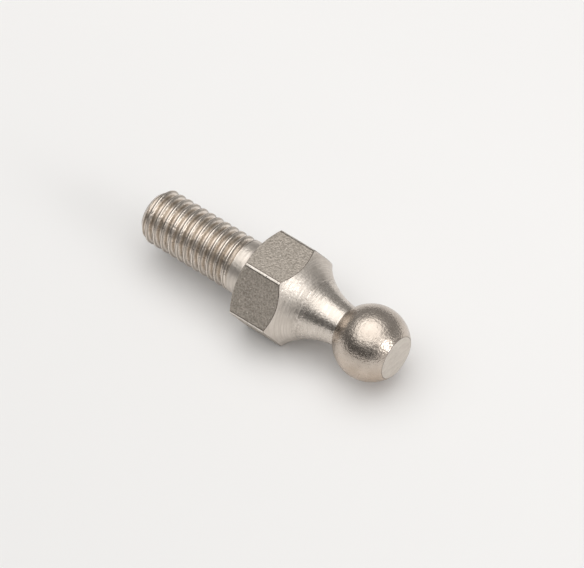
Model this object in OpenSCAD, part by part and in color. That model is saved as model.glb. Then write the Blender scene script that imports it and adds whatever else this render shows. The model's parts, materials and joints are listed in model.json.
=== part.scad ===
// Threaded ball stud, turned from one length of hexagon bar: a screw shank, a hexagon for a spanner,
// a flared neck and a ball with a flat nose.
// It lies on one flat of the hexagon, with its axis along X and the ball at the +X end.
// The origin is on the axis, in the plane of the face that seats against a bracket.
// The shank is drawn plain, at the outside diameter of its screw thread.

/* [Ball] */
// Diameter of the ball
ball_d = 8; // [6:0.1:10]
// Diameter of the flat across the ball's nose
nose_d = 4.8; // [2:0.1:5.6]
// Distance from the seating face to the ball's centre
ball_reach = 14.3; // [12:0.1:20]

/* [Neck] */
// Diameter of the neck at its waist
neck_d = 4.5; // [3:0.1:5.5]
// Radius of the hollow flare between the waist and the hexagon's corners
flare_r = 8; // [5:0.1:10]
// Distance from the ball's centre back to the waist
waist_back = 2.95; // [2:0.05:4]

/* [Hexagon] */
// Width across the flats
hex_af = 9.9; // [8:0.1:13]
// Depth turned off each corner of the hexagon
corner_cut = 0.065; // [0.02:0.005:0.3]
// Distance from the flats in to the edge of the round seating face
seat_inset = 0.05; // [0:0.01:1]
// Angle of the bevel between the seating face and the corners, in degrees
seat_bevel = 30; // [15:1:45]

/* [Shank] */
// Outside diameter of the screw thread
thread_d = 5.95; // [4:0.05:8]
// Length of the shank from the seating face to its end
shank_l = 14.1; // [8:0.05:30]
// Width of the bevel on the shank's end
end_bevel = 0.9; // [0.1:0.05:1.5]

/* [Hidden] */
$fn = 128;

bright_steel = [0.70, 0.67, 0.63];
hex_sides = 6;
half_side_angle = 180 / hex_sides;
quarter_turn = 90;

ball_r = ball_d / 2;
nose_r = nose_d / 2;
nose_rise = sqrt(ball_r * ball_r - nose_r * nose_r);

neck_r = neck_d / 2;
waist_reach = ball_reach - waist_back;

bar_r = hex_af / 2 / cos(half_side_angle);
bar_l = 2 * (shank_l + ball_reach + ball_r);
corner_r = bar_r - corner_cut;
seat_r = hex_af / 2 - seat_inset;
bevel_rise = (corner_r - seat_r) * tan(seat_bevel);

thread_r = thread_d / 2;

// Half-section of the shank, from its bevelled end up to the seating face
module shank_section() {
    polygon([
        [0, -shank_l],
        [thread_r - end_bevel, -shank_l],
        [thread_r, end_bevel - shank_l],
        [thread_r, 0],
        [0, 0]
    ]);
}

// Half-section of the head: the bevelled seat, the corner lands, and the flare that sweeps in to the waist
module head_section() {
    difference() {
        polygon([
            [0, 0],
            [seat_r, 0],
            [corner_r, bevel_rise],
            [corner_r, waist_reach],
            [0, waist_reach]
        ]);
        translate([neck_r + flare_r, waist_reach]) circle(r = flare_r);
    }
}

// Half-section of the ball, cut flat at the nose, with the end of the neck that runs on to its centre
module ball_section() {
    translate([0, waist_reach]) square([neck_r, waist_back]);
    translate([0, ball_reach]) intersection() {
        circle(r = ball_r);
        translate([0, -ball_r]) square([ball_r, ball_r + nose_rise]);
    }
}

// Everything that the lathe leaves, about the Z axis
module turned_form() {
    rotate_extrude() {
        shank_section();
        head_section();
        ball_section();
    }
}

// The bar before turning, with a flat facing along each of the lines between its corners
module hexagon_bar() {
    rotate([0, 0, half_side_angle])
        cylinder(h = bar_l, r = bar_r, center = true, $fn = hex_sides);
}

// The whole stud, laid down with a flat of the hexagon underneath
module ball_stud() {
    color(bright_steel)
        rotate([0, quarter_turn, 0])
            intersection() {
                hexagon_bar();
                turned_form();
            }
}

ball_stud();
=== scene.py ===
"""Looks of a threaded ball stud: one turned steel piece with its screw thread, on a pale floor."""

import json
import math

import bpy
from mathutils import Matrix, Vector


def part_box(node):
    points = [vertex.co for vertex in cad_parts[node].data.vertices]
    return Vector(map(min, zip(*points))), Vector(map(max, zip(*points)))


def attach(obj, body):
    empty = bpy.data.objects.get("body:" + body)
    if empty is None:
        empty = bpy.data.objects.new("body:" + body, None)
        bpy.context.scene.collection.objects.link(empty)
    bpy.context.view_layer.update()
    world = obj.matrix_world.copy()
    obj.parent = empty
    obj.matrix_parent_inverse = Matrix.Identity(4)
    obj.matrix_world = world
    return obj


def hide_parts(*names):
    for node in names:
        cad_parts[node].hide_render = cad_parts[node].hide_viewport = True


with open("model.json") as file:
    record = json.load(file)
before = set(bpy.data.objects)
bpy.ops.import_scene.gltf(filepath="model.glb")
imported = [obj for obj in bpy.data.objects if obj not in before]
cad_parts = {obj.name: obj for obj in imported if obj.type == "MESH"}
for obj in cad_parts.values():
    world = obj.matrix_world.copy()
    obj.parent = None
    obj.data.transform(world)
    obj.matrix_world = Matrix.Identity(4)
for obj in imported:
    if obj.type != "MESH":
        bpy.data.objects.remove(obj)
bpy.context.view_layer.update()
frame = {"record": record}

# Lengths are in millimetres until a point is placed. x runs along the stud's axis from its seating
# face, r is the distance from the axis, and angles go round the axis from +Y towards +Z.
MM = 0.001
FULL_TURN = 2 * math.pi

# Sizes read from the frame
mounts = {mount["name"]: mount for mount in frame["record"]["mounts"]}
node_low, node_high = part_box("ball_stud")
end_x = node_low.x / MM
nose_x = node_high.x / MM
flat_r = -node_low.z / MM
corner_r = node_high.y / MM
thread_r = mounts["thread"]["dims"]["r_mm"]
end_bevel = -end_x - mounts["thread"]["dims"]["length_mm"]
ball_x = mounts["ball"]["pos_m"][0] / MM
ball_r = mounts["ball"]["dims"]["r_mm"]
nose_r = math.sqrt(ball_r**2 - (nose_x - ball_x) ** 2)

# Sizes of the head that the frame doesn't name
neck_r = 2.25
flare_r = 8.0
waist_back = 2.95
waist_x = ball_x - waist_back
flare_mid_r = neck_r + flare_r
seat_inset = 0.05
seat_r = flat_r - seat_inset
seat_bevel = math.radians(30)

# The screw thread: a metric profile with flat crests, which runs out in a plain collar before the
# seating face. Its crest and root are rounded over a share of its depth. crest_x is where a crest
# crosses angle 0.
pitch = 1.0
thread_depth = 0.6 * pitch
crest_half = 0.11 * pitch
flank_angle = math.radians(30)
flank_run = thread_depth * math.tan(flank_angle)
crest_round = 0.06
root_round = 0.2
bevel_round = 0.04
collar_x = -2.15
run_out = 0.8
crest_x = -0.305

# The painted shade lines along the crest's edges. Each has its place, as a share of a pitch past the
# crest, and its strength. The fade is how far from its middle a line starts to fade and is gone, in such
# shares.
crest_shades = ((0.925, 0.85), (0.16, 0.45))
crest_shade_fade = (0.03, 0.07)

# The fine ridges along the thread. The waver is in radians of the wave that they follow.
ridges_per_pitch = 4
ridge_waver = 0.8
faintest_ridge = 0.7

# How far each rounded edge or corner reaches along the faces beside it
end_rim = 0.05
seat_rim = 0.012
bevel_rim = 0.03
flare_rim = 0.04
nose_rim = 0.03
seat_root = 0.1

# The corner lands: the drop in r over which their edges are rounded, and the width of the painted shade
# line beside them
corner_soft = 0.02
edge_shade_line = 0.1

# The ring on the flare where the tool changed, with spots of painted shade beside it that darken the
# flare there. The turned faces before it are rougher than the flare past it, and the change fades from
# one x to the other.
ring_x = 7.2
ring_half = 0.12
faintest_ring = 0.4
ring_shade_half = 0.75
ring_shade_strength = 0.7
satin_fade = (ring_x - 0.5, ring_x + 0.3)
satin_rough = 0.12

# Heights between which the ball's colour changes from warm and darker, a painted shade, to plain
low_shade_fade = (-1.4, 1.2)

# Fineness of the mesh, and the angle from which an edge is drawn sharp
SIDES = 6
FLAT_STEPS = 20
CURVE_STEPS = 4
FLARE_STEPS = 46
BALL_STEPS = 60
DISC_STEPS = 8
COLLAR_STEPS = 6
SHARP_ANGLE = math.radians(40)

# Finishes, in the order of the piece's material slots. The last is a painted shade for thin dark lines
# along edges.
TURNED, THREAD, FLAT, LAND, BALL, NOSE, EDGE_SHADE = range(7)


def ease(share):
    """A smooth step from 0 to 1."""
    held = max(0.0, min(1.0, share))
    return held * held * (3 - 2 * held)


def soft_min(a, b, width):
    """The smaller of two numbers, with the change from one to the other rounded over a width."""
    near = max(width - abs(a - b), 0.0) / width
    return min(a, b) - near * near * width / 4


def soft_max(a, b, width):
    """The larger of two numbers, rounded the same way."""
    return -soft_min(-a, -b, width)


def spread(first, last, steps):
    """Numbers from first to last in equal steps, both ends included."""
    return [first + (last - first) * k / steps for k in range(steps + 1)]


def rounded_corner(before, corner, after):
    """Points of a small curve from before to after that follows the corner between them."""
    curve = []
    for s in spread(0.0, 1.0, CURVE_STEPS):
        weights = ((1 - s) ** 2, 2 * s * (1 - s), s * s)
        x, r = (sum(w * p for w, p in zip(weights, places)) for places in zip(before, corner, after))
        curve.append((x, r))
    return curve


# Places round the axis. A corner of the hexagon is at angle 0, and the middle of a flat is half a side
# further on.
side_angle = FULL_TURN / SIDES
land_half = side_angle / 2 - math.acos(flat_r / corner_r)
land_blend = corner_soft / (corner_r * math.tan(side_angle / 2))
edge_half = edge_shade_line / corner_r


def column_angles():
    """Angles of the mesh's columns, closer together on both sides of each edge of a corner land."""
    from_edge = (-land_blend, 0.0, land_blend, edge_half)
    near_corner = [0.0] + [land_half + a for a in from_edge]
    last = side_angle - near_corner[-1]
    on_flat = spread(near_corner[-1], last, FLAT_STEPS)[1:-1]
    to_corner = [side_angle - a for a in reversed(near_corner[1:])]
    one_side = near_corner + on_flat + to_corner
    return [side_angle * side + a for side in range(SIDES) for a in one_side]


columns = column_angles()
next_columns = columns[1:] + [FULL_TURN]
column_count = len(columns)


def hexagon_r(angle):
    """Distance from the axis to the hexagon bar, with its corners turned down."""
    from_flat = angle % side_angle - side_angle / 2
    return soft_min(flat_r / math.cos(from_flat), corner_r, corner_soft)


def bar_finish(column):
    """Finish of the bar after this column: a corner land, the painted shade line beside it, or a flat."""
    middle = (columns[column] + next_columns[column]) / 2
    from_corner = abs((middle + side_angle / 2) % side_angle - side_angle / 2)
    if from_corner < land_half:
        return LAND
    return EDGE_SHADE if from_corner < land_half + edge_half else FLAT


# The mesh, gathered point by point
points = []
faces = []
face_finish = []


def add_point(x, r, angle):
    """One point of the mesh, by its place along the axis, distance from it and angle round it."""
    points.append((x * MM, r * math.cos(angle) * MM, r * math.sin(angle) * MM))
    return len(points) - 1


def add_face(corners, finish):
    """One face, left out where its corners have run together."""
    kept = [c for k, c in enumerate(corners) if c != corners[k - 1]]
    if len(kept) > 2:
        faces.append(kept)
        face_finish.append(finish)


def join_rings(first, second, finish):
    """Faces between two rings of points. On the bar the finish changes from face to face."""
    for k in range(column_count):
        after = (k + 1) % column_count
        here = bar_finish(k) if finish == FLAT else finish
        add_face([first[k], first[after], second[after], second[k]], here)


def close_ring(ring, x, finish):
    """A fan of faces from a ring to one point on the axis."""
    pole = add_point(x, 0.0, 0.0)
    for k in range(column_count):
        add_face([ring[k], ring[(k + 1) % column_count], pole], finish)


def thread_share(share):
    """Depth of the groove as a share of its full depth, at a share of a pitch from a crest."""
    from_crest = abs(share - round(share)) * pitch
    down = (from_crest - crest_half) / flank_run
    return soft_max(soft_min(down, 1.0, root_round), 0.0, crest_round)


def threaded_r(x, share):
    """Distance from the axis to the threaded surface, inside the 45 degree bevel on the shank's end."""
    cut = thread_depth * thread_share(share) * ease((collar_x - x) / run_out)
    bevel_r = thread_r - end_bevel + x - end_x
    return soft_min(bevel_r, thread_r - cut, bevel_round)


# Places of the mesh's rows across one pitch, from crest to crest, closer where the profile turns
HALF_ROWS = (0.0, 0.05, 0.08, 0.095, 0.11, 0.125, 0.15, 0.21, 0.27, 0.33, 0.38, 0.42, 0.46)
pitch_rows = HALF_ROWS + (0.5,) + tuple(1 - s for s in reversed(HALF_ROWS[1:]))
rows_per_turn = len(pitch_rows)


def add_thread(first, last, start_x):
    """The threaded surface between two rings, in rows that climb with the helix."""
    # A point this near to one of the rings, or past it, is the ring's own point
    slack = 0.01
    turns_before = math.floor((start_x - crest_x) / pitch) - 1
    turns_after = math.ceil((collar_x - crest_x) / pitch) + 1
    rows = []
    for turn in range(turns_before, turns_after + 1):
        for share in pitch_rows:
            row = []
            for k, angle in enumerate(columns):
                x = crest_x + pitch * (turn + share + angle / FULL_TURN)
                if x < start_x + slack:
                    row.append(first[k])
                elif x > collar_x - slack:
                    row.append(last[k])
                else:
                    row.append(add_point(x, threaded_r(x, share), angle))
            rows.append(row)
    for k in range(len(rows) - rows_per_turn - 1):
        low, high = rows[k], rows[k + 1]
        low_next = low + [rows[k + rows_per_turn][0]]
        high_next = high + [rows[k + 1 + rows_per_turn][0]]
        for c in range(column_count):
            add_face([low[c], low_next[c + 1], high_next[c + 1], high[c]], THREAD)


def flare_point(turn):
    """A point of the flare, at an angle back from its waist."""
    return waist_x - flare_r * math.sin(turn), flare_mid_r - flare_r * math.cos(turn)


def neck_turn():
    """Angle on the flare's arc at which the neck runs into the ball, below 0 as it is past the waist."""
    to_ball = Vector((ball_x - waist_x, -flare_mid_r))
    gap = to_ball.length
    off_line = math.acos((flare_r**2 + gap**2 - ball_r**2) / (2 * flare_r * gap))
    return -(math.atan2(to_ball.x, -to_ball.y) - off_line)


def ball_point(turn):
    """A point of the ball, at an angle back from its nose."""
    return ball_x + ball_r * math.cos(turn), ball_r * math.sin(turn)


def head_outline(angle):
    """Outline of the head in one plane through the axis, as stretches of points with their finishes. Each
    stretch starts where the one before it ends."""
    bar_r = hexagon_r(angle)
    bevel_x = (bar_r - seat_r) * math.tan(seat_bevel)
    bevel_run = (math.sin(seat_bevel), math.cos(seat_bevel))
    seat_edge = (seat_rim * bevel_run[0], seat_r + seat_rim * bevel_run[1])
    bevel_end = (bevel_x - bevel_rim * bevel_run[0], bar_r - bevel_rim * bevel_run[1])
    flare_turn = math.acos((flare_mid_r - bar_r) / flare_r)
    flare_x = flare_point(flare_turn)[0]
    first_flare = flare_turn - flare_rim / flare_r
    last_flare = neck_turn()
    neck_x, neck_end_r = flare_point(last_flare)
    nose_turn = math.asin(nose_r / ball_r)
    rim_turn = nose_turn + nose_rim / ball_r
    ball_turns = spread(math.atan2(neck_end_r, neck_x - ball_x), nose_turn, BALL_STEPS)

    collar = [(x, thread_r) for x in spread(collar_x, -seat_root, COLLAR_STEPS)]
    root = rounded_corner((-seat_root, thread_r), (0.0, thread_r), (0.0, thread_r + seat_root))
    seat = [(0.0, r) for r in spread(thread_r + seat_root, seat_r - seat_rim, DISC_STEPS)]
    seat_corner = rounded_corner(seat[-1], (0.0, seat_r), seat_edge)
    bevel = [seat_edge, bevel_end]
    bevel_corner = rounded_corner(bevel_end, (bevel_x, bar_r), (bevel_x + bevel_rim, bar_r))
    bar = [(x, bar_r) for x in spread(bevel_x + bevel_rim, flare_x - flare_rim, DISC_STEPS)]
    bar_edge = rounded_corner(bar[-1], (flare_x, bar_r), flare_point(first_flare))
    flare = [flare_point(turn) for turn in spread(first_flare, last_flare, FLARE_STEPS)]
    ball = [ball_point(turn) for turn in ball_turns if turn > rim_turn] + [ball_point(rim_turn)]
    nose_edge = rounded_corner(ball[-1], (nose_x, nose_r), (nose_x, nose_r - nose_rim))
    nose = [(nose_x, r) for r in spread(nose_r - nose_rim, nose_r / DISC_STEPS, DISC_STEPS)]

    behind = [(TURNED, stretch) for stretch in (collar, root, seat, seat_corner, bevel, bevel_corner)]
    # The rounded edge from the bar to the flare, and the nose's rim, carry the painted shade
    middle = [(FLAT, bar), (EDGE_SHADE, bar_edge), (TURNED, flare)]
    front = [(BALL, ball), (EDGE_SHADE, nose_edge), (NOSE, nose)]
    return behind + middle + front


def outline_rows():
    """The head's rows: for each, its finish and the x and r of every column."""
    outlines = [head_outline(angle) for angle in columns]
    rows = []
    for part, (finish, stretch) in enumerate(outlines[0]):
        for place in range(len(stretch)):
            already_there = rows and place == 0
            if already_there:
                continue
            rows.append((finish, [outline[part][1][place] for outline in outlines]))
    return rows


def build_mesh():
    """The whole stud as one closed surface, from the end of the shank to the nose of the ball."""
    end_r = thread_r - end_bevel
    rim = rounded_corner((end_x, end_r - end_rim), (end_x, end_r), (end_x + end_rim, end_r + end_rim))
    disc = [(end_x, r) for r in spread(end_r / DISC_STEPS, end_r - end_rim, DISC_STEPS)]
    rings = []
    for x, r in disc + rim[1:]:
        rings.append([add_point(x, r, angle) for angle in columns])
    # At this end the ring goes in backwards, so that its fan faces out
    close_ring(rings[0][::-1], end_x, TURNED)
    for first, second in zip(rings, rings[1:]):
        join_rings(first, second, TURNED)

    head = []
    for finish, places in outline_rows():
        ring = [add_point(x, r, angle) for (x, r), angle in zip(places, columns)]
        head.append((finish, ring))
    add_thread(rings[-1], head[0][1], rim[-1][0])
    for (_, first), (finish, second) in zip(head, head[1:]):
        join_rings(first, second, finish)
    close_ring(head[-1][1], nose_x, NOSE)


# Materials. Places are in millimetres, and so are the heights of what stands out of a surface.

# Ranges that hold most of a noise's values: a narrow one, for strong changes, and a wide one
NARROW = (0.35, 0.65)
WIDE = (0.3, 0.7)

# A mix node's sockets for its share and its colours, by number because several have the same name
MIX_SHARE = 0
MIX_FIRST = 6
MIX_SECOND = 7
MIX_RESULT = 2


def make_node(tree, kind, inputs=None, **settings):
    """A shader node with its settings and inputs. An input is a value or another node's output."""
    made = tree.nodes.new(kind)
    for name, value in settings.items():
        setattr(made, name, value)
    for name, value in (inputs or {}).items():
        if isinstance(value, bpy.types.NodeSocket):
            tree.links.new(value, made.inputs[name])
        else:
            made.inputs[name].default_value = value
    return made


def noise(tree, place, per_mm=1.0, detail=3.0, roughness=0.55):
    """Soft random values between 0 and 1."""
    values = {"Vector": place, "Scale": per_mm, "Detail": detail, "Roughness": roughness}
    return make_node(tree, "ShaderNodeTexNoise", values).outputs["Fac"]


def scaled(tree, vector, factors):
    """A vector with each of its numbers times its own factor."""
    values = {0: vector, 1: factors}
    return make_node(tree, "ShaderNodeVectorMath", values, operation="MULTIPLY").outputs[0]


def between(tree, value, low, high, out_low, out_high, **settings):
    """A value moved from one range to another and held inside it."""
    values = {"Value": value, "From Min": low, "From Max": high, "To Min": out_low, "To Max": out_high}
    return make_node(tree, "ShaderNodeMapRange", values, **settings).outputs[0]


def part_way(tree, value, low, high):
    """How far a value has come from low to high: 0 at low and 1 at high."""
    return between(tree, value, low, high, 0.0, 1.0)


def calculate(tree, operation, first, second=0.0):
    """One step of arithmetic."""
    return make_node(tree, "ShaderNodeMath", {0: first, 1: second}, operation=operation).outputs[0]


def blend_colours(tree, share, first, second):
    """A colour part of the way from first to second."""
    values = {MIX_SHARE: share, MIX_FIRST: first, MIX_SECOND: second}
    return make_node(tree, "ShaderNodeMix", values, data_type="RGBA").outputs[MIX_RESULT]


def bump(tree, height, distance, normal=None):
    """The way that a surface faces once a height, times a distance in metres, stands out of it."""
    values = {"Height": height, "Distance": distance, "Strength": 1.0}
    if normal is not None:
        values["Normal"] = normal
    return make_node(tree, "ShaderNodeBump", values).outputs["Normal"]


def new_steel(name):
    """A metal with its tree of nodes."""
    material = bpy.data.materials.new(name)
    material.use_nodes = True
    material.node_tree.nodes["Principled BSDF"].inputs["Metallic"].default_value = 1.0
    return material, material.node_tree


def in_millimetres(tree):
    """A point's place on the piece."""
    place = make_node(tree, "ShaderNodeTexCoord").outputs["Object"]
    return scaled(tree, place, (1 / MM,) * 3)


def apart(tree, vector):
    """The three numbers of a vector, by the names X, Y and Z."""
    return make_node(tree, "ShaderNodeSeparateXYZ", {0: vector}).outputs


def across_axis(tree, place):
    """The way from the stud's axis out to a point."""
    return scaled(tree, place, (0.0, 1.0, 1.0))


def from_axis(tree, place):
    """A point's distance from the stud's axis."""
    across = across_axis(tree, place)
    return make_node(tree, "ShaderNodeVectorMath", {0: across}, operation="LENGTH").outputs["Value"]


def on_lathe(tree, place, along, around):
    """A point's place along the turned outline and round the axis, stretched for tool marks. Along the
    outline it is x less r, which changes steadily on every turned face but the back of the ball."""
    across = across_axis(tree, place)
    way = make_node(tree, "ShaderNodeVectorMath", {0: across}, operation="NORMALIZE").outputs[0]
    outline = calculate(tree, "SUBTRACT", apart(tree, place)["X"], from_axis(tree, place))
    stretched = calculate(tree, "MULTIPLY", outline, along)
    first = make_node(tree, "ShaderNodeCombineXYZ", {0: stretched}).outputs[0]
    second = scaled(tree, way, (around,) * 3)
    return make_node(tree, "ShaderNodeVectorMath", {0: first, 1: second}, operation="ADD").outputs[0]


def by_ring(tree, place, half):
    """How near a point is to the ring on the flare: 1 on it and 0 at half a width from it or more."""
    off = calculate(tree, "ABSOLUTE", calculate(tree, "SUBTRACT", apart(tree, place)["X"], ring_x))
    return between(tree, off, 0.0, half, 1.0, 0.0, interpolation_type="SMOOTHSTEP")


def helix_share(tree, place):
    """How far a point is past the thread's crest, as a share of a pitch."""
    split = apart(tree, place)
    turn = calculate(tree, "DIVIDE", calculate(tree, "ARCTAN2", split["Z"], split["Y"]), FULL_TURN)
    from_crest = calculate(tree, "DIVIDE", calculate(tree, "SUBTRACT", split["X"], crest_x), pitch)
    return calculate(tree, "FRACT", calculate(tree, "SUBTRACT", from_crest, turn))


def helix_ridges(tree, place):
    """Ridges that climb with the thread's helix, which waver and come and go."""
    across = calculate(tree, "MULTIPLY", helix_share(tree, place), FULL_TURN * ridges_per_pitch)
    drift = noise(tree, place, per_mm=0.7, detail=1.0)
    waver = between(tree, drift, *WIDE, -ridge_waver, ridge_waver)
    wave = calculate(tree, "COSINE", calculate(tree, "ADD", across, waver))
    fade = noise(tree, place, per_mm=1.1, detail=1.0)
    strength = between(tree, fade, *NARROW, faintest_ridge, 1.0)
    return calculate(tree, "MULTIPLY", wave, strength)


def crest_edge_shades(tree, place):
    """Fine lines of painted shade along both edges of the crest: each at its own strength, and 0 away
    from them.
    """
    share = helix_share(tree, place)
    lines = []
    for edge_share, strength in crest_shades:
        off = calculate(tree, "ABSOLUTE", calculate(tree, "SUBTRACT", share, edge_share))
        lines.append(between(tree, off, *crest_shade_fade, strength, 0.0))
    return calculate(tree, "MAXIMUM", *lines)


def roughness_from(tree, grains, low, high):
    """A roughness that goes up and down with the grains."""
    return between(tree, grains, *WIDE, low, high)


def dress(tree, tint, rough, heights):
    """Joins a colour, a roughness and a stack of surface heights, each with its size in millimetres."""
    shader = tree.nodes["Principled BSDF"]
    normal = None
    for height, size in heights:
        normal = bump(tree, height, size * MM, normal)
    tree.links.new(tint, shader.inputs["Base Color"])
    tree.links.new(rough, shader.inputs["Roughness"])
    tree.links.new(normal, shader.inputs["Normal"])


def turned_steel():
    """The flare, the collar and the small turned faces: fine tool marks round the axis."""
    dull = (0.635, 0.578, 0.52, 1)
    clear = (0.71, 0.652, 0.594, 1)
    streak = (0.60, 0.545, 0.488, 1)
    ring_shade = (0.42, 0.375, 0.33, 1)
    material, tree = new_steel("turned_steel")
    place = in_millimetres(tree)
    marks = noise(tree, on_lathe(tree, place, along=3.2, around=1.6), roughness=0.6)
    grains = noise(tree, place, per_mm=4.0, detail=2.0)
    fade = noise(tree, place, per_mm=0.8, detail=1.0)
    faint = between(tree, fade, *NARROW, faintest_ring, 1.0)
    ring = calculate(tree, "MULTIPLY", by_ring(tree, place, ring_half), faint)
    clouds = part_way(tree, noise(tree, place, per_mm=0.9), *NARROW)
    clean = blend_colours(tree, clouds, dull, clear)
    lines = noise(tree, on_lathe(tree, place, along=4.5, around=1.2), detail=2.0)
    lined = blend_colours(tree, part_way(tree, lines, low=0.4, high=0.6), streak, clean)
    # Spots of painted shade near the ring darken the flare there
    spots = noise(tree, on_lathe(tree, place, along=4.0, around=8.0), detail=2.0)
    spotted_shade = between(tree, spots, low=0.45, high=0.6, out_low=0.0, out_high=ring_shade_strength)
    ring_shades = calculate(tree, "MULTIPLY", spotted_shade, by_ring(tree, place, ring_shade_half))
    tint = blend_colours(tree, ring_shades, lined, ring_shade)
    satin = between(tree, apart(tree, place)["X"], *satin_fade, satin_rough, 0.0)
    rough = calculate(tree, "ADD", roughness_from(tree, grains, low=0.22, high=0.33), satin)
    dress(tree, tint, rough, [(marks, 0.042), (grains, 0.028), (ring, -0.03)])
    return material


def thread_steel():
    """The thread: fine ridges that climb with the helix, with painted shade that darkens it between them
    and along the crest.
    """
    dull = (0.72, 0.65, 0.58, 1)
    clear = (0.86, 0.79, 0.72, 1)
    shade_between_ridges = (0.55, 0.49, 0.425, 1)
    crest_shade = (0.24, 0.205, 0.175, 1)
    material, tree = new_steel("thread_steel")
    place = in_millimetres(tree)
    ridges = helix_ridges(tree, place)
    grains = noise(tree, place, per_mm=4.6, detail=2.0)
    clouds = part_way(tree, noise(tree, place, per_mm=1.6), *NARROW)
    bright = blend_colours(tree, clouds, dull, clear)
    # The tone follows the ridges: the thread's own colour on them, and a painted shade that darkens it
    # between them
    on_ridge = part_way(tree, ridges, low=-0.8, high=0.6)
    lined = blend_colours(tree, on_ridge, shade_between_ridges, bright)
    # Painted shade: dark lines along both edges of the crest
    tint = blend_colours(tree, crest_edge_shades(tree, place), lined, crest_shade)
    rough = roughness_from(tree, grains, low=0.25, high=0.37)
    dress(tree, tint, rough, [(ridges, 0.016), (grains, 0.045)])
    return material


def flat_steel():
    """The flats of the drawn bar: a matt pebbled skin with a few bright flecks."""
    hollow = (0.36, 0.32, 0.275, 1)
    pebble = (0.58, 0.525, 0.465, 1)
    fleck = (0.72, 0.67, 0.615, 1)
    material, tree = new_steel("flat_steel")
    place = in_millimetres(tree)
    pebbles = noise(tree, place, per_mm=5.0, detail=2.0)
    specks = noise(tree, place, per_mm=4.0, detail=1.0)
    pebbled = blend_colours(tree, part_way(tree, pebbles, *NARROW), hollow, pebble)
    tint = blend_colours(tree, part_way(tree, specks, low=0.70, high=0.75), pebbled, fleck)
    rough = roughness_from(tree, pebbles, low=0.46, high=0.60)
    dress(tree, tint, rough, [(pebbles, 0.06), (specks, 0.03)])
    return material


def land_steel():
    """The lands along the corners: a bright turned strip with small dark pits."""
    dull = (0.62, 0.57, 0.51, 1)
    clear = (0.76, 0.71, 0.66, 1)
    pit = (0.16, 0.13, 0.11, 1)
    material, tree = new_steel("land_steel")
    place = in_millimetres(tree)
    grains = noise(tree, place, per_mm=4.0, detail=2.0)
    spots = noise(tree, place, per_mm=5.0, detail=1.0)
    grained = blend_colours(tree, part_way(tree, grains, *NARROW), dull, clear)
    tint = blend_colours(tree, part_way(tree, spots, low=0.66, high=0.72), grained, pit)
    rough = roughness_from(tree, grains, low=0.28, high=0.42)
    dress(tree, tint, rough, [(grains, 0.03)])
    return material


def ball_steel():
    """The ball: speckled grain over short turning marks, with a painted shade that makes it warmer and
    darker low down.
    """
    shaded_low_dull = (0.465, 0.37, 0.285, 1)
    shaded_low_clear = (0.535, 0.435, 0.35, 1)
    high_dull = (0.52, 0.455, 0.395, 1)
    high_clear = (0.605, 0.535, 0.47, 1)
    material, tree = new_steel("ball_steel")
    place = in_millimetres(tree)
    marks = noise(tree, on_lathe(tree, place, along=4.0, around=3.0), roughness=0.6)
    grains = noise(tree, place, per_mm=4.2, detail=2.0)
    clouds = part_way(tree, noise(tree, place, per_mm=0.7), *NARROW)
    # The colours low down are a painted shade, darker and warmer than the steel higher up
    low = blend_colours(tree, clouds, shaded_low_dull, shaded_low_clear)
    high = blend_colours(tree, clouds, high_dull, high_clear)
    tint = blend_colours(tree, part_way(tree, apart(tree, place)["Z"], *low_shade_fade), low, high)
    rough = roughness_from(tree, grains, low=0.19, high=0.29)
    dress(tree, tint, rough, [(marks, 0.028), (grains, 0.041)])
    return material


def nose_steel():
    """The nose's flat: an even face with faint scratches across it."""
    dull = (0.57, 0.52, 0.465, 1)
    clear = (0.68, 0.63, 0.57, 1)
    material, tree = new_steel("nose_steel")
    place = in_millimetres(tree)
    grains = noise(tree, place, per_mm=4.0, detail=2.0)
    scratches = noise(tree, scaled(tree, place, (1.0, 1.1, 2.8)), detail=4.0, roughness=0.7)
    tint = blend_colours(tree, part_way(tree, scratches, *NARROW), dull, clear)
    rough = roughness_from(tree, grains, low=0.30, high=0.42)
    dress(tree, tint, rough, [(scratches, 0.012), (grains, 0.02)])
    return material


def edge_steel():
    """Painted shade: thin dark lines along the edges of the flats and the nose."""
    dark = (0.15, 0.13, 0.11, 1)
    less_dark = (0.30, 0.265, 0.23, 1)
    material, tree = new_steel("edge_steel")
    grains = noise(tree, in_millimetres(tree), per_mm=5.0, detail=2.0)
    tint = blend_colours(tree, part_way(tree, grains, *NARROW), dark, less_dark)
    rough = roughness_from(tree, grains, low=0.40, high=0.55)
    dress(tree, tint, rough, [(grains, 0.02)])
    return material


def all_finishes():
    """The piece's materials, in the order of its slots."""
    shank = [turned_steel(), thread_steel()]
    head = [flat_steel(), land_steel(), ball_steel(), nose_steel(), edge_steel()]
    return shank + head


def make_stud():
    """The stud, which rides on the one body and stands for the plain solid."""
    build_mesh()
    mesh = bpy.data.meshes.new("ball_stud_body")
    mesh.from_pydata(points, [], faces)
    for material in all_finishes():
        mesh.materials.append(material)
    mesh.polygons.foreach_set("material_index", face_finish)
    mesh.polygons.foreach_set("use_smooth", [True] * len(faces))
    mesh.set_sharp_from_angle(angle=SHARP_ANGLE)
    mesh.validate()
    stud = bpy.data.objects.new("ball_stud_body", mesh)
    bpy.context.scene.collection.objects.link(stud)
    weighted = stud.modifiers.new("even_shading", "WEIGHTED_NORMAL")
    weighted.keep_sharp = True
    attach(stud, "root")
    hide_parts("ball_stud")


# The stage and the lights. Their lengths are in metres.

floor_half = 2.0
# The floor's colour is darker near the front than far back: a painted shade
floor_near_shaded = (0.825, 0.82, 0.815, 1)
floor_far = (0.90, 0.893, 0.888, 1)
floor_shade_fade = (-0.06, 0.03)
floor_glow = 0.05
floor_rough = 0.8
floor_gloss = 0.2
room_colour = (1.0, 0.99, 0.975, 1)

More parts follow.
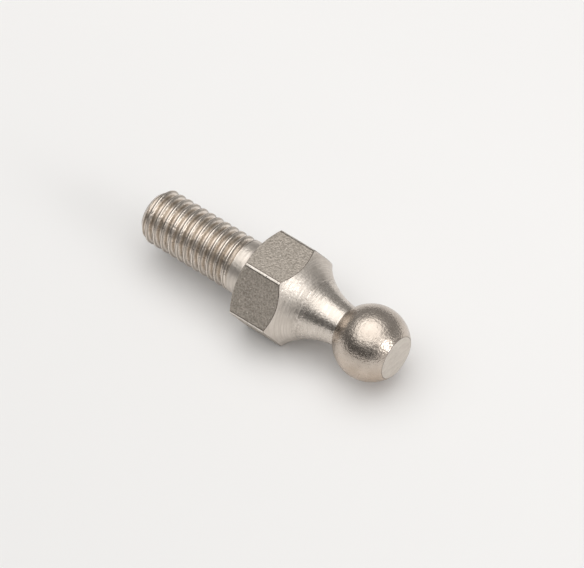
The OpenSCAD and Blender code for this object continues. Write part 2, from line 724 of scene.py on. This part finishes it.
# The room's glow in front and behind, where it turns from one to the other, and its soft lights. Each
# light has the direction that it comes from, the angles from there at which it starts to fade and is
# gone, and its glow. A glow of 1 looks white.
room_front = 0.115
room_back = 0.32
room_turn = (-0.8, 0.3)
room_behind = (0, 1, 0)
soft_lights = (
    ((-0.06, -0.115, 1.0), math.radians(20), math.radians(52), 1.67),
    ((0.86, -0.10, 0.50), math.radians(10), math.radians(36), 0.6),
)
key_direction = Vector((0.91, 0.01, 0.42))
key_distance = 0.5
key_width = 0.16
key_glow = 5.5


def make_floor():
    """A pale floor under the stud, with a painted shade that makes it a little darker towards the front
    and lighter towards the back.
    """
    z = node_low.z
    corners = [(x * floor_half, y * floor_half, z) for x, y in ((-1, -1), (1, -1), (1, 1), (-1, 1))]
    mesh = bpy.data.meshes.new("floor")
    mesh.from_pydata(corners, [], [(0, 1, 2, 3)])
    material = bpy.data.materials.new("pale_floor")
    material.use_nodes = True
    tree = material.node_tree
    shader = tree.nodes["Principled BSDF"]
    shader.inputs["Roughness"].default_value = floor_rough
    shader.inputs["Specular IOR Level"].default_value = floor_gloss
    depth = apart(tree, make_node(tree, "ShaderNodeTexCoord").outputs["Object"])["Y"]
    colour = blend_colours(tree, part_way(tree, depth, *floor_shade_fade), floor_near_shaded, floor_far)
    tree.links.new(colour, shader.inputs["Base Color"])
    light_path = make_node(tree, "ShaderNodeLightPath").outputs
    seen = light_path["Is Camera Ray"]
    for ray in ("Is Glossy Ray", "Is Transmission Ray"):
        seen = calculate(tree, "ADD", seen, light_path[ray])
    share = between(tree, seen, 0.0, 1.0, 0.0, floor_glow)
    glow = make_node(tree, "ShaderNodeEmission", {"Color": colour, "Strength": 1.0}).outputs[0]
    lit = make_node(tree, "ShaderNodeMixShader", {0: share, 1: shader.outputs[0], 2: glow}).outputs[0]
    tree.links.new(lit, tree.nodes["Material Output"].inputs["Surface"])
    mesh.materials.append(material)
    floor = bpy.data.objects.new("floor", mesh)
    bpy.context.scene.collection.objects.link(floor)


def make_key():
    """A small square lamp on the ball's side, with the power that gives its face the key's glow."""
    data = bpy.data.lights.new("key", "AREA")
    data.shape = "SQUARE"
    data.size = key_width
    data.energy = key_glow * math.pi * key_width**2
    light = bpy.data.objects.new("key", data)
    light.location = key_direction.normalized() * key_distance
    light.rotation_mode = "QUATERNION"
    light.rotation_quaternion = key_direction.to_track_quat("Z", "Y")
    bpy.context.scene.collection.objects.link(light)


def facing(tree, direction, towards):
    """How nearly a direction points one way: 1 when it does, and 0 at right angles."""
    values = {0: direction, 1: Vector(towards).normalized()}
    return make_node(tree, "ShaderNodeVectorMath", values, operation="DOT_PRODUCT").outputs["Value"]


def make_world():
    """The room and its soft lights."""
    world = bpy.data.worlds.new("studio")
    world.use_nodes = True
    tree = world.node_tree
    direction = make_node(tree, "ShaderNodeTexCoord").outputs["Generated"]
    glow = between(tree, facing(tree, direction, room_behind), *room_turn, room_front, room_back)
    for towards, full, gone, strength in soft_lights:
        near = facing(tree, direction, towards)
        soft = between(
            tree, near, math.cos(gone), math.cos(full), 0.0, strength, interpolation_type="SMOOTHSTEP"
        )
        glow = calculate(tree, "ADD", glow, soft)
    background = tree.nodes["Background"]
    background.inputs["Color"].default_value = room_colour
    tree.links.new(glow, background.inputs["Strength"])
    bpy.context.scene.world = world


# The camera that took the photograph. The picture's width and the focal length are in pixels.
image_w = 584
focal_px = 5941.3
sensor_w = 36.0
view_azimuth = math.radians(39.50)
view_elevation = math.radians(49.82)
view_roll = math.radians(-1.15)
view_distance = 605.15
view_aim = Vector((3.126, 1.133, 0.0))
nearest_seen = 10.0


def make_camera():
    """The camera, which looks at its aim from a distance and is tipped by its roll."""
    data = bpy.data.cameras.new("camera")
    data.sensor_width = sensor_w
    data.lens = focal_px * sensor_w / image_w
    data.clip_start = nearest_seen * MM
    camera = bpy.data.objects.new("camera", data)
    level = math.cos(view_elevation)
    back = Vector((
        math.sin(view_azimuth) * level,
        -math.cos(view_azimuth) * level,
        math.sin(view_elevation),
    ))
    right = Vector((math.cos(view_azimuth), math.sin(view_azimuth), 0.0))
    up = back.cross(right)
    tipped_right = right * math.cos(view_roll) + up * math.sin(view_roll)
    tipped_up = back.cross(tipped_right)
    turn = Matrix((tipped_right, tipped_up, back)).transposed()
    camera.matrix_world = Matrix.Translation((view_aim + back * view_distance) * MM) @ turn.to_4x4()
    bpy.context.scene.collection.objects.link(camera)
    bpy.context.scene.camera = camera


make_stud()
make_floor()
make_key()
make_world()
make_camera()
bpy.context.scene.view_settings.view_transform = "Standard"

bpy.context.view_layer.update()
